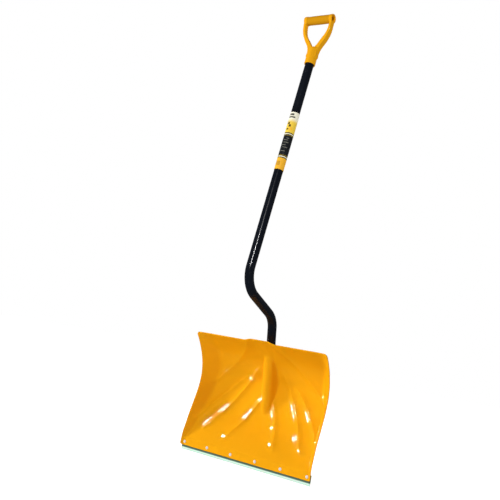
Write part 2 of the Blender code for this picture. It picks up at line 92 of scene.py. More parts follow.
# Depth of the scoop behind the lip, against height, at the middle and at the side edges
PLATE_PROFILE = (
    (LIP_Z, 0.000),
    (BAND_TOP, 0.000),
    (0.049, 0.008),
    (0.069, 0.022),
    (0.134, 0.069),
    (0.169, 0.079),
    (0.239, 0.087),
    (0.274, 0.076),
    (0.299, 0.062),
    (0.319, 0.043),
    (0.334, 0.023),
    (BLADE_TOP, -0.019),
)
SIDE_PROFILE = (
    (LIP_Z, -0.0060),
    (BAND_TOP, -0.0060),
    (0.054, -0.0049),
    (0.072, -0.0011),
    (0.109, 0.0065),
    (0.146, 0.0165),
    (0.203, 0.0291),
    (0.230, 0.0308),
    (0.259, 0.0270),
    (0.296, 0.0140),
    (0.331, -0.0062),
    (BLADE_TOP, -0.0260),
)

# Where the plate turns up into its flanks: sideways place, and depth behind the side edge
CREASE_PLACE = (
    (LIP_Z, 0.2240),
    (BAND_TOP, 0.2236),
    (0.060, 0.2130),
    (0.089, 0.2085),
    (0.119, 0.2060),
    (0.159, 0.2010),
    (0.199, 0.1960),
    (0.259, 0.1850),
    (0.309, 0.1890),
    (BLADE_TOP, 0.2000),
)
CREASE_DEPTH = (
    (LIP_Z, 0.0060),
    (BAND_TOP, 0.0060),
    (0.059, 0.018),
    (0.089, 0.028),
    (0.119, 0.034),
    (0.159, 0.042),
    (0.199, 0.046),
    (0.259, 0.048),
    (0.309, 0.045),
    (0.341, 0.024),
    (BLADE_TOP, 0.006),
)
CREASE_ROUNDING = 0.20

# Stiffening ribs: where the crest starts beside the middle (x, height), how far it runs out
# for each metre down, how that run-out bends, the lowest height, the rib's height and width.
# A smaller RIB_CREST makes a sharper crest, and a greater RIB_FALL makes steeper sides
RIBS = (
    (0.035, 0.359, 1.27, -1.0, 0.199, 0.0068, 0.011),
    (0.095, 0.244, 1.05, -1.7, 0.064, 0.0062, 0.011),
    (0.045, 0.279, 0.62, 0.0, 0.062, 0.0068, 0.011),
    (0.020, 0.194, 0.50, 0.0, 0.052, 0.0062, 0.010),
)
RIB_FADE = 0.030
RIB_CREST = 0.25
RIB_FALL = 1.25

# Mesh of the blade's sheet, and sides of the round pieces
COLUMNS = 250
ROWS = 172
TUBE_SIDES = 64
LABEL_SIDES = 96
RECESS_SIDES = 48
FIXING_SIDES = 40
DOME_STEPS = 6
NOSE_STEPS = 8
BEND_STEPS = 16
FOOT_STEPS = 4
STRAIGHT_STEP = 0.04
LABEL_RINGS = 12
STRIP_CUTS = 10

# The shaft's centreline corners and bends
UPPER_CORNER = Vector((0.0, -0.1424, 0.5089))
LOWER_CORNER_POINT = Vector((0.0, 0.0254, 0.4351))
SHAFT_LEAN = 0.17711
SOCKET_LEAN = -0.200
SHAFT_TOP_Z = 1.262
SHAFT_FOOT_Z = 0.214
UPPER_BEND = 0.0726
LOWER_BEND = 0.058

# The socket that takes the shaft's foot; its skirt is how steeply its sides fall to the plate
SOCKET_WALL = 0.003
SOCKET_TOP_Z = 0.357
SOCKET_LENGTH = 0.150
SOCKET_EASE = 0.0006
SOCKET_REACH = 0.070
SOCKET_FRONT_TOP = 0.345
SOCKET_MARGIN = 0.02
LEAST_RADIUS = 0.0001
FACING_FRONT = -0.2
CUT_PAST = 0.010
SOCKET_NOSE = 0.050
SOCKET_NOSE_RADIUS = 0.007
SOCKET_NOSE_Z = 0.140
SOCKET_BLEND = 0.006
SOCKET_SWELL = 0.0012
SOCKET_SKIRT = 2.6

# The low ridge that carries the socket's swelling on up to the hump in the top edge
RIDGE_RISE = 0.006
RIDGE_WIDTH = 0.020
RIDGE_START = 0.285
RIDGE_RUN = 0.05

# The D-grip, along and across the upper end of the shaft
GRIP_FOOT_Z = 1.2121
COLLAR_RADIUS = 0.0172
COLLAR_LENGTH = 0.0515
COLLAR_TAPER = 0.96
COLLAR_EASE = 0.0008
BAR_RISE = 0.1511
BAR_FORWARD = 0.0137
BAR_RADIUS = 0.0143
BAR_HALF_LENGTH = 0.0495
BAR_EASE = 0.0006
BAR_WAIST_DEPTH = 0.0009
HOLD_INNER = 0.0380
HOLD_OUTER = 0.0400
BAR_RECESS_RADIUS = 0.0103
BAR_RECESS_DEPTH = 0.012
ARM_DEPTH = 0.018
ARM_OUTER = (
    (0.0492, 0.1556),
    (0.0497, 0.1346),
    (0.0462, 0.1066),
    (0.0360, 0.0836),
    (0.0212, 0.0590),
    (0.0166, 0.0400),
    (0.0158, 0.0240),
)
ARM_INNER = (
    (0.0417, 0.1466),
    (0.0414, 0.1286),
    (0.0365, 0.1056),
    (0.0215, 0.0836),
    (0.0080, 0.0635),
)
CROTCH_RISE = 0.0550
GRIP_VOXEL = 0.0009

# Fixings
RIVET_COUNT = 6
RIVET_PITCH = 0.087
RIVET_RISE = 0.0102
RIVET_SHANK = 0.0020
WASHER_BORE = 0.0023
WASHER_THICKNESS = 0.001
WASHER_EASE = 0.0002
SCREW_SHANK = 0.0020
SCREW_RISE = 0.0026
SCREW_SLOT = (0.0058, 0.0010, 0.0026)
SOCKET_SCREW_Z = 0.305
GRIP_SCREW_RISE = 0.022


# --- Small tools -----------------------------------------------------------------------


def deselect_all():
    """Leave nothing selected, so that the next operator acts on one object alone."""
    if bpy.context.object and bpy.context.object.mode != "OBJECT":
        bpy.ops.object.mode_set(mode="OBJECT")
    bpy.ops.object.select_all(action="DESELECT")


def choose(piece):
    """Select one object and make it the active one."""
    deselect_all()
    piece.select_set(True)
    bpy.context.view_layer.objects.active = piece


def apply_all(piece):
    """Apply every modifier of a piece in turn."""
    choose(piece)
    for modifier in list(piece.modifiers):
        bpy.ops.object.modifier_apply(modifier=modifier.name)


def edit_all():
    """Enter edit mode with everything selected."""
    bpy.ops.object.mode_set(mode="EDIT")
    bpy.ops.mesh.select_all(action="SELECT")


def leave_edit(merge=False):
    """Merge close points if asked, turn every face outwards and leave edit mode."""
    bpy.ops.mesh.select_all(action="SELECT")
    if merge:
        bpy.ops.mesh.remove_doubles(threshold=MERGE)
    bpy.ops.mesh.normals_make_consistent(inside=False)
    bpy.ops.object.mode_set(mode="OBJECT")


def add_wall(piece, name, thickness):
    """Give a surface a wall on its inner side."""
    wall = piece.modifiers.new(name, "SOLIDIFY")
    wall.thickness = thickness
    wall.offset = -1.0


def extrude_by(move):
    """Extrude what is selected and move it."""
    bpy.ops.mesh.extrude_region_move(TRANSFORM_OT_translate={"value": move})


def extrude_ring(move, widen):
    """Extrude the selected loop, move the new loop and scale it about the Z axis."""
    extrude_by(move)
    if widen != 1.0:
        bpy.ops.transform.resize(value=(widen, widen, 1.0), center_override=(0.0, 0.0, 0.0))


def turned(name, profile, sides):
    """A round solid about Z: a disc is extruded through (radius, height) pairs, then closed."""
    deselect_all()
    radius, height = profile[0]
    bpy.ops.mesh.primitive_circle_add(
        vertices=sides, radius=radius, fill_type="NGON", location=(0.0, 0.0, height)
    )
    piece = bpy.context.object
    piece.name = name
    bpy.ops.object.transform_apply(location=True)
    edit_all()
    for (old, before), (new, after) in zip(profile, profile[1:]):
        extrude_ring((0.0, 0.0, after - before), new / old)
    leave_edit()
    return piece


def dome(radius, height, base):
    """Pairs of (radius, height) from a domed top down to its rim."""
    angles = [math.pi / 2 * step / DOME_STEPS for step in range(1, DOME_STEPS + 1)]
    return [(radius * math.sin(a), base + height * math.cos(a)) for a in angles]


def boolean(piece, other, operation):
    """Join another solid to a piece or cut it away, and remove the other solid."""
    choose(piece)
    change = piece.modifiers.new(operation.title(), "BOOLEAN")
    change.operation = operation
    change.solver = "EXACT"
    change.object = other
    bpy.ops.object.modifier_apply(modifier=change.name)
    bpy.data.objects.remove(other, do_unlink=True)


def settle(piece, matrix, angle):
    """Put a piece at its place, in its mesh, and shade it smooth up to an angle."""
    piece.data.transform(matrix)
    choose(piece)
    bpy.ops.object.shade_smooth_by_angle(angle=math.radians(angle))


def hand_over(piece, material, slot, *nodes):
    """Give a finished piece its material and its body, and hide the solids that it stands for.
    """
    piece.data.materials.clear()
    piece.data.materials.append(material)
    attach(piece, "root")
    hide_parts(*nodes)


def axis_place(corner, lean, z):
    """Place at height z on a leaning axis through a corner, with +Z up along the axis."""
    origin = corner + Vector((0.0, lean, 1.0)) * (z - corner.z)
    return Matrix.Translation(origin) @ Matrix.Rotation(-math.atan(lean), 4, "X")


def socket_place(z):
    """Place at height z on the axis of the socket and the shaft's foot."""
    return axis_place(LOWER_CORNER_POINT, SOCKET_LEAN, z)


def shaft_place(z):
    """Place at height z on the upper shaft's axis."""
    return axis_place(UPPER_CORNER, SHAFT_LEAN, z)


def facing_back(matrix, distance):
    """Place at a distance behind an axis, with +Z pointing away from the axis."""
    turn = Matrix.Rotation(-math.pi / 2, 4, "X")
    return matrix @ Matrix.Translation((0.0, distance, 0.0)) @ turn


# --- Shading ---------------------------------------------------------------------------


class Value:
    """A number that changes over a surface; arithmetic on it adds Math nodes."""

    def __init__(self, shade, socket):
        self.shade = shade
        self.socket = socket

    def __add__(self, other):
        return self.shade.math("ADD", self, other)

    def __sub__(self, other):
        return self.shade.math("SUBTRACT", self, other)

    def __rsub__(self, other):
        return self.shade.math("SUBTRACT", other, self)

    def __mul__(self, other):
        return self.shade.math("MULTIPLY", self, other)

    __radd__ = __add__
    __rmul__ = __mul__


class Shade:
    """A new Principled material and the nodes that feed it."""

    def __init__(self, name, **constants):
        self.material = bpy.data.materials.new(name)
        self.material.use_nodes = True
        self.tree = self.material.node_tree
        self.surface = self.tree.nodes["Principled BSDF"]
        for title, value in constants.items():
            self.surface.inputs[title.replace("_", " ")].default_value = value

    def node(self, kind, settings=(), inputs=(), output=0):
        """Add a node: its settings first, then its sockets' values or links."""
        made = self.tree.nodes.new(kind)
        for title, value in dict(settings).items():
            setattr(made, title, value)
        for key, value in dict(inputs).items():
            if isinstance(value, Value):
                self.tree.links.new(value.socket, made.inputs[key])
            else:
                made.inputs[key].default_value = value
        return Value(self, made.outputs[output])

    def math(self, operation, *values):
        """One Math node on values and numbers."""
        return self.node("ShaderNodeMath", {"operation": operation}, dict(enumerate(values)))

    def place(self):
        """The point on the object, in metres."""
        return self.node("ShaderNodeTexCoord", output="Object")

    def moved(self, location=(0, 0, 0), rotation=(0, 0, 0), scale=(1, 1, 1)):
        """The point on the object, stretched, turned and shifted."""
        inputs = {"Vector": self.place(), "Location": location}
        inputs.update({"Rotation": rotation, "Scale": scale})
        return self.node("ShaderNodeMapping", {"vector_type": "POINT"}, inputs)

    def split(self, vector):
        """The three coordinates of a vector."""
        node = self.tree.nodes.new("ShaderNodeSeparateXYZ")
        self.tree.links.new(vector.socket, node.inputs[0])
        return [Value(self, socket) for socket in node.outputs]

    def noise(self, scale, detail, roughness=0.55, vector=None):
        """A cloudy pattern with so many features to the metre."""
        inputs = {"Vector": vector or self.place(), "Scale": scale}
        inputs.update({"Detail": detail, "Roughness": roughness})
        return self.node("ShaderNodeTexNoise", {}, inputs)

    def band(self, value, low, high, start=0.0, end=1.0):
        """A value eased from start to end as it goes from low to high."""
        settings = {"interpolation_type": "SMOOTHSTEP"}
        inputs = {"Value": value, 1: low, 2: high, 3: start, 4: end}
        return self.node("ShaderNodeMapRange", settings, inputs)

    def mix(self, factor, first, second):
        """Blend two colours by a factor."""
        inputs = {0: factor, 6: rgba(first), 7: rgba(second)}
        return self.node("ShaderNodeMix", {"data_type": "RGBA"}, inputs, output=2)

    def bump(self, height, strength, distance):
        """A normal that follows a height."""
        inputs = {"Height": height, "Strength": strength, "Distance": distance}
        return self.node("ShaderNodeBump", {}, inputs)

    def feed(self, **values):
        """Link values to the surface's sockets."""
        for title, value in values.items():
            self.tree.links.new(value.socket, self.surface.inputs[title.replace("_", " ")])
        return self.material


def rgba(colour):
    """A colour with full opacity, or a link left as it is."""
    return colour if isinstance(colour, Value) else (*colour[:3], 1.0)


def tinted(colour, share):
    """A colour made darker or lighter by a share."""
    return tuple(min(channel * share, 1.0) for channel in colour[:3])


def moulded_plastic(name, colour, roughness, grain, scuff_height=0.0, bar_low_height=0.0):
    """Glossy moulded plastic: slow colour drift, fine grain, hairline scratches and scuffs.

    The scuffs lie up to scuff_height above the lip. From the height given for the grip's bar
    up, the middle of the bar is darker.
    """
    shade = Shade(name, Coat_Weight=0.30, Coat_Roughness=0.03, Specular_IOR_Level=0.0)
    drift = shade.band(shade.noise(5.0, 2.0), 0.3, 0.7)
    flow = shade.band(shade.noise(38.0, 4.0, 0.6), 0.35, 0.7)
    tone = shade.mix(drift, tinted(colour, 0.96), tinted(colour, 1.03))
    tone = shade.mix(flow * 0.16, tone, tinted(colour, 0.90))
    hair = shade.moved(rotation=(0.0, 0.35, 0.0), scale=(260.0, 30.0, 9.0))
    scratches = shade.band(shade.noise(1.0, 2.0, 0.7, hair), 0.66, 0.72)
    wear = scratches * 0.35
    if scuff_height:
        height = shade.split(shade.place())[2]
        low = shade.band(height, LIP_Z, LIP_Z + scuff_height, 1.0, 0.0)
        patches = shade.band(shade.noise(55.0, 5.0, 0.7), 0.52, 0.66)
        wear = wear + low * patches * 0.8
        tone = shade.mix(low * patches * 0.25, tone, tinted(colour, 1.25))
    if bar_low_height:
        x, _, height = shade.split(shade.place())
        # The middle of the grip's bar above the given height: darker colour and more roughness.
        bar_middle = shade.band(height, bar_low_height - 0.002, bar_low_height)
        ends = (HOLD_INNER + 0.0005, HOLD_OUTER + 0.0005)
        bar_middle = bar_middle * shade.band(shade.math("ABSOLUTE", x), *ends, 1.0, 0.0)
        tone = shade.mix(bar_middle, tone, tinted(colour, 0.70))
        wear = wear + bar_middle * 0.5
    fine = shade.noise(grain, 2.0, 0.5)
    rough = roughness + flow * 0.06 + wear * 0.22
    normal = shade.bump(fine - wear * 0.3, 0.03, 0.0003)
    return shade.feed(Base_Color=tone, Roughness=rough, Normal=normal)


def gloss_paint(name, colour):
    """Powder paint on steel: slight orange peel, faint dust and a few hairline scratches."""
    shade = Shade(name, Coat_Weight=0.22, Coat_Roughness=0.06, Specular_IOR_Level=0.10)
    cloud = shade.band(shade.noise(14.0, 4.0, 0.6), 0.35, 0.75)
    hair = shade.moved(scale=(420.0, 420.0, 14.0))
    scratches = shade.band(shade.noise(1.0, 2.0, 0.7, hair), 0.68, 0.74)
    dust = shade.band(shade.noise(240.0, 2.0, 0.5), 0.62, 0.72)
    tone = shade.mix(cloud * 0.5, colour, tinted(colour, 1.7))
    tone = shade.mix(scratches * 0.12 + dust * 0.04, tone, (0.16, 0.17, 0.19))
    rough = 0.20 + cloud * 0.08 + scratches * 0.25
    peel = shade.noise(420.0, 1.0, 0.4)
    normal = shade.bump(peel - scratches * 0.4, 0.06, 0.0003)
    return shade.feed(Base_Color=tone, Roughness=rough, Normal=normal)


def milky_nylon(name, colour):
    """Milky nylon: faintly marbled, scraped along its lower edge, painted shadow under the lip.
    """
    shade = Shade(name, Subsurface_Weight=0.25, Subsurface_Scale=0.004, Coat_Weight=0.15)
    _, depth, height = shade.split(shade.place())
    marble = shade.band(shade.noise(24.0, 4.0, 0.65), 0.3, 0.7)
    low = shade.band(height, 0.0, 0.005, 1.0, 0.0)
    along = shade.moved(scale=(14.0, 200.0, 900.0))
    scrapes = shade.band(shade.noise(1.0, 3.0, 0.7, along), 0.52, 0.64)
    # Painted shadow of the blade's lip: a dark teal band on the strip's front face just under
    # the lip.
    lip_shadow = shade.band(height, LIP_Z - 0.0068, LIP_Z - 0.0054)
    lip_shadow = lip_shadow * shade.band(depth, STRIP_LOW.y + 0.0006, STRIP_LOW.y + 0.0010, 1.0, 0.0)
    tone = shade.mix(marble * 0.5, colour, tinted(colour, 0.92))
    tone = shade.mix(low * scrapes * 0.3, tone, (0.62, 0.66, 0.62))
    tone = shade.mix(lip_shadow * 0.92, tone, (0.028, 0.095, 0.058))
    rough = 0.34 + marble * 0.08 + low * scrapes * 0.3
    normal = shade.bump(scrapes * low, 0.15, 0.0005)
    return shade.feed(Base_Color=tone, Roughness=rough, Normal=normal)


def plain_metal(name, colour, roughness, grain):
    """Bare fixing metal: fine tumbling marks and a little dull oxide."""
    shade = Shade(name, Metallic=0.35)
    marks = shade.noise(grain, 4.0, 0.7)
    oxide = shade.band(shade.noise(300.0, 3.0, 0.6), 0.45, 0.7)
    tone = shade.mix(oxide * 0.5, colour, tinted(colour, 0.72))
    rough = roughness + marks * 0.15 + oxide * 0.12
    normal = shade.bump(marks, 0.08, 0.0002)
    return shade.feed(Base_Color=tone, Roughness=rough, Normal=normal)


def printed_film(name, look):
    """The sleeve's print: blocks and stripes along the shaft, with plain bars on the front."""
    shade = Shade(name, Coat_Weight=0.15, Coat_Roughness=0.12, Specular_IOR_Level=0.10)
    upright = label_foot().inverted()
    x, y, rise = shade.split(shade.moved(upright.translation, tuple(upright.to_euler())))
    length = LABEL_LENGTH

    def between(value, start, end, soft):
        """1 between two values and 0 outside them."""
        rising = shade.band(value, start - soft, start + soft)
        return rising * shade.band(value, end - soft, end + soft, 1.0, 0.0)

    def block(start, end):
        """1 all round the sleeve between two heights above its foot."""
        return between(rise, start, end, 0.0004)

    def bar(start, end, left, right):
        """1 on a rectangle on the front half."""
        front = shade.band(y, -0.001, 0.001, 1.0, 0.0)
        return block(start, end) * between(x, left, right, 0.0003) * front

    ink = tuple(look.label_ink)
    cream = tuple(look.label_cream)
    yellow = tuple(look.label_yellow)
    amber = tuple(look.label_amber)
    fade = shade.band(rise, length - 0.036, length - 0.020)
    tone = shade.mix(fade, yellow, cream)
    tone = shade.mix(block(-0.01, 0.036), tone, amber)
    tone = shade.mix(block(0.046, 0.110), tone, ink)
    for start in (0.0365, 0.0425, 0.1105, 0.1165):
        tone = shade.mix(block(start, start + 0.0030), tone, ink)
    for start in (0.0395, 0.1135):
        tone = shade.mix(block(start, start + 0.0026), tone, cream)
    for start, left, right in (
        (0.100, 0.004, 0.011),
        (0.094, -0.004, 0.009),
        (0.086, -0.002, 0.012),
        (0.078, -0.006, 0.006),
        (0.070, -0.001, 0.012),
        (0.058, -0.005, 0.009),
    ):
        tone = shade.mix(bar(start, start + 0.0012, left, right) * 0.30, tone, cream)
    for start, end, left, right in (
        (length - 0.0115, length - 0.0050, -0.007, 0.007),
        (length - 0.0195, length - 0.0145, -0.009, 0.011),
        (length - 0.0420, length - 0.0330, -0.006, 0.001),
        (length - 0.0500, length - 0.0420, -0.001, 0.006),
        (length - 0.0600, length - 0.0540, -0.005, 0.001),
    ):
        tone = shade.mix(bar(start, end, left, right) * 0.9, tone, ink)
    tone = shade.mix(bar(length - 0.0610, length - 0.0500, 0.003, 0.011) * 0.7, tone, amber)
    tone = shade.mix(bar(0.011, 0.026, -0.008, 0.006) * 0.35, tone, ink)
    scuff = shade.band(shade.noise(160.0, 4.0, 0.7), 0.60, 0.72)
    tone = shade.mix(scuff * 0.12, tone, (0.55, 0.54, 0.50))
    rough = 0.28 + scuff * 0.25
    normal = shade.bump(shade.noise(300.0, 2.0, 0.5), 0.04, 0.0003)
    return shade.feed(Base_Color=tone, Roughness=rough, Normal=normal)


# --- Settings --------------------------------------------------------------------------


def length_of(name, description, default):
    """A length that a user can change."""
    return FloatProperty(
        name=name, description=description, default=default, unit="LENGTH", min=0.0
    )


def power_of(name, description, default):
    """A lamp's power that a user can change."""
    return FloatProperty(
        name=name, description=description, default=default, unit="POWER", min=0.0
    )


def level_of(name, description, default):
    """A plain strength that a user can change."""
    return FloatProperty(name=name, description=description, default=default, min=0.0)


def colour_of(name, description, default):
    """A colour that a user can change."""
    return FloatVectorProperty(
        name=name, description=description, default=default, subtype="COLOR", min=0.0, max=1.0
    )


class ShovelSizes(bpy.types.PropertyGroup):
    """Sizes of the visible pieces."""

    sheet: length_of("Sheet", "Thickness of the blade", 0.003)
    rim: length_of("Rim", "Rounding of the blade's cut edges", 0.0010)
    strip_edge: length_of("Strip edge", "Rounding of the wear strip's edges", 0.0007)
    tube_wall: length_of("Tube wall", "Wall of the steel tube", 0.0012)
    rivet_head: length_of("Rivet head", "Radius of a rivet's head", 0.0045)
    rivet_rise: length_of("Rivet dome", "Height of a rivet's head", 0.0017)
    washer: length_of("Washer", "Radius of a washer", 0.0052)
    screw_head: length_of("Screw head", "Radius of a screw's head", 0.0048)


class ShovelColours(bpy.types.PropertyGroup):
    """Colours of the finishes."""

    blade: colour_of("Blade", "Moulded plastic of the blade", (0.83, 0.360, 0.005))
    grip: colour_of("Grip", "Moulded plastic of the grip", (0.72, 0.325, 0.006))
    strip: colour_of("Strip", "Nylon of the wear strip", (0.62, 0.84, 0.72))
    paint: colour_of("Paint", "Paint on the shaft", (0.003, 0.0042, 0.0075))
    metal: colour_of("Rivets", "Metal of the rivets and washers", (1.0, 1.0, 1.0))
    steel: colour_of("Screws", "Metal of the screws", (0.50, 0.50, 0.52))
    label_ink: colour_of("Ink", "Dark print on the label", (0.010, 0.011, 0.013))
    label_cream: colour_of("Cream", "Palest print on the label", (0.80, 0.78, 0.62))
    label_yellow: colour_of("Yellow", "Upper block of the label", (0.80, 0.55, 0.06))
    label_amber: colour_of("Amber", "Lowest block of the label", (0.82, 0.42, 0.03))


class StudioSettings(bpy.types.PropertyGroup):
    """Light and floor of the studio."""

    sky: level_of("Sky", "Strength of the even light", 0.12)
    key: power_of("Key", "Power of the light on the left", 66.0)
    front: power_of("Front", "Power of the narrow light that the shaft shines with", 70.0)
    gleam: power_of("Gleam", "Power of the long lights that the blade shines with", 230.0)
    fill: power_of("Fill", "Power of the lights before and behind", 58.0)
    glow: level_of("Glow", "Light given off by the floor", 0.64)
    floor: colour_of("Floor", "Colour of the floor", (0.42, 0.42, 0.42))


def sizes():
    """The sizes in use."""
    return bpy.context.scene.shovel_sizes


def colours():
    """The colours in use."""
    return bpy.context.scene.shovel_colours


# --- The blade -------------------------------------------------------------------------


def points_of(mesh):
    """A mesh's points, as rows of x, y and z."""
    place = np.empty(len(mesh.vertices) * 3)
    mesh.vertices.foreach_get("co", place)
    return place.reshape(-1, 3)


def put_points(mesh, x, y, z):
    """Put a mesh's points at new places."""
    mesh.vertices.foreach_set("co", np.stack([x, y, z], axis=1).ravel())
    mesh.update()


def smooth_curve(points, at):
    """Read a curve through (position, value) points that never overshoots them."""
    where = np.array([point[0] for point in points])
    value = np.array([point[1] for point in points])
    slopes = np.diff(value) / np.diff(where)
    tangents = np.zeros(len(points))
    tangents[0] = slopes[0]
    tangents[-1] = slopes[-1]
    same_way = slopes[:-1] * slopes[1:] > 0.0
    total = np.where(same_way, slopes[:-1] + slopes[1:], 1.0)
    tangents[1:-1] = np.where(same_way, 2.0 * slopes[:-1] * slopes[1:] / total, 0.0)
    index = np.clip(np.searchsorted(where, at, side="right") - 1, 0, len(slopes) - 1)
    span = (where[1:] - where[:-1])[index]
    t = np.clip((at - where[index]) / span, 0.0, 1.0)
    rise = t * t * (3.0 - 2.0 * t)
    leave = t * (1.0 - t) ** 2 * tangents[index]
    arrive = t * t * (t - 1.0) * tangents[index + 1]
    return value[index] + rise * (value[index + 1] - value[index]) + span * (leave + arrive)


def smooth_step(value):
    """Ease from 0 to 1 as the value goes from 0 to 1."""
    t = np.clip(value, 0.0, 1.0)
    return t * t * (3.0 - 2.0 * t)


def soft_minimum(first, second, rounding):
    """The lesser of two values, with the change from one to the other rounded."""
    blend = np.maximum(rounding - np.abs(first - second), 0.0) / rounding
    return np.minimum(first, second) - blend * blend * rounding / 4


def rib_height(x, z):
    """How far the stiffening ribs stand out of the plate towards the front."""
    total = np.zeros_like(x)
    for start_x, start_z, run_out, bend, end_z, rise, width in RIBS:
        down = start_z - z
        crest = start_x + run_out * down + bend * down * down
        slope = run_out + 2.0 * bend * down
        across = (np.abs(x) - crest) / np.sqrt(1.0 + slope * slope)
        fade = smooth_step(down / RIB_FADE + 0.5) * smooth_step((z - end_z) / RIB_FADE)
        away = np.sqrt((across / width) ** 2 + RIB_CREST**2) - RIB_CREST
        total += rise * fade * np.exp(-RIB_FALL * away)
    return total


def scoop_depth(x, z):
    """Depth of the blade's front face behind the lip."""
    side = smooth_curve(SIDE_PROFILE, z)
    middle = smooth_curve(PLATE_PROFILE, z) - side
    crease = smooth_curve(CREASE_PLACE, z)
    edge = smooth_curve(EDGE_PLACE, z)
    share = soft_minimum((edge - np.abs(x)) / (edge - crease), 1.0, CREASE_ROUNDING)
    outward = np.minimum(np.abs(x) / crease, 1.0) ** 2
    plate = middle + (smooth_curve(CREASE_DEPTH, z) - middle) * outward
    ridge = smooth_step((z - RIDGE_START) / RIDGE_RUN) * np.exp(-((x / RIDGE_WIDTH) ** 4))
    ridge = RIDGE_RISE * ridge
    return side + (plate - rib_height(x, z) - ridge) * share


def half_width_at(z):
    """Half the blade's width, less where its corners are rounded."""
    below = np.maximum(LIP_Z + LOWER_CORNER - z, 0.0)
    above = np.maximum(z - (BLADE_TOP - TOP_CORNER), 0.0)
    lower = LOWER_CORNER - np.sqrt(np.maximum(LOWER_CORNER**2 - below**2, 0.0))
    upper = TOP_CORNER - np.sqrt(np.maximum(TOP_CORNER**2 - above**2, 0.0))
    return smooth_curve(EDGE_PLACE, z) - lower - upper


def hump(x):
    """Extra height of the top edge where it passes over the socket."""
    share = (HUMP_HALF_WIDTH - np.abs(x)) / (HUMP_HALF_WIDTH - HUMP_FLAT)
    return HUMP_HEIGHT * smooth_step(share)


def socket_front(x, z):
    """The socket's front face as a depth in world Y; far behind where there is no socket."""
    radius = TUBE_RADIUS + FIT + SOCKET_WALL + SOCKET_SWELL
    nose = np.clip((z - SOCKET_NOSE_Z) / SOCKET_NOSE, 0.0, 1.0)
    radius = radius * np.sqrt(1.0 - (1.0 - nose) ** 2) + LEAST_RADIUS
    axis = LOWER_CORNER_POINT.y + SOCKET_LEAN * (z - LOWER_CORNER_POINT.z)
    inside = np.maximum(radius**2 - x**2, 0.0)
    wall = np.maximum(np.abs(x) - radius, 0.0) * SOCKET_SKIRT
    return axis - np.sqrt(inside) + wall


def make_blade_sheet():
    """A grid whose points are put on the scoop's surface, thickened to the sheet."""
    deselect_all()
    bpy.ops.mesh.primitive_grid_add(x_subdivisions=COLUMNS, y_subdivisions=ROWS, size=2.0)
    blade = bpy.context.object
    blade.name = "blade_moulding"
    across, up, _ = points_of(blade.data).T
    z = LIP_Z + (up + 1.0) / 2.0 * (BLADE_TOP - LIP_Z)
    x = across * half_width_at(z)
    y = STRIP_LOW.y - FIT - sizes().sheet + scoop_depth(x, z)
    lift = smooth_step((z - HUMP_START) / (BLADE_TOP - HUMP_START))
    put_points(blade.data, x, y, z + hump(x) * lift)
    add_wall(blade, "Sheet", sizes().sheet)
    rim = blade.modifiers.new("Rim", "BEVEL")
    rim.width = sizes().rim
    rim.segments = 3
    rim.limit_method = "ANGLE"
    rim.angle_limit = math.radians(60)
    apply_all(blade)
    return blade


def raise_socket(blade):
    """Swell the front face out over the shaft's foot."""
    x, y, z = points_of(blade.data).T
    normal = np.empty(len(x) * 3)
    blade.data.vertex_normals.foreach_get("vector", normal)
    near = (normal.reshape(-1, 3)[:, 1] < FACING_FRONT) & (np.abs(x) < SOCKET_REACH)
    near = near & (z > SOCKET_NOSE_Z - SOCKET_MARGIN) & (z < SOCKET_FRONT_TOP)
    swollen = soft_minimum(y, socket_front(x, z), SOCKET_BLEND)
    y[near] = swollen[near]
    put_points(blade.data, x, y, z)


def make_blade():
    """The moulded blade: ribbed sheet, swollen socket and the sleeve behind it."""
    blade = make_blade_sheet()
    raise_socket(blade)
    radius = TUBE_RADIUS + FIT + SOCKET_WALL
    profile = [(radius - SOCKET_EASE, 0.0), (radius, -SOCKET_EASE), (radius, -SOCKET_LENGTH)]
    for step in range(1, NOSE_STEPS + 1):
        share = step / NOSE_STEPS
        narrow = SOCKET_NOSE_RADIUS + (radius - SOCKET_NOSE_RADIUS) * math.sqrt(1.0 - share**2)
        profile.append((narrow, -SOCKET_LENGTH - SOCKET_NOSE * share))
    sleeve = turned("sleeve", profile, TUBE_SIDES)
    sleeve.data.transform(socket_place(SOCKET_TOP_Z))
    boolean(blade, sleeve, "UNION")
    bore_depth = (SOCKET_TOP_Z - SHAFT_FOOT_Z) / math.cos(math.atan(SOCKET_LEAN))
    hole = TUBE_RADIUS + FIT
    bore = turned("bore", [(hole, CUT_PAST), (hole, -bore_depth)], TUBE_SIDES)
    bore.data.transform(socket_place(SOCKET_TOP_Z))
    boolean(blade, bore, "DIFFERENCE")
    settle(blade, Matrix.Identity(4), 45)
    return blade


class SHOVEL_OT_blade(bpy.types.Operator):
    """Model the ribbed blade with the socket for the shaft"""

    bl_idname = "shovel.blade"
    bl_label = "Blade"

    def execute(self, context):
        blade = make_blade()
        colour = tuple(colours().blade)
        plastic = moulded_plastic("blade_plastic", colour, 0.40, 900.0, scuff_height=0.05)
        hand_over(blade, plastic, "blade_plastic", "blade")
        return {"FINISHED"}


# --- Wear strip and fixings ------------------------------------------------------------


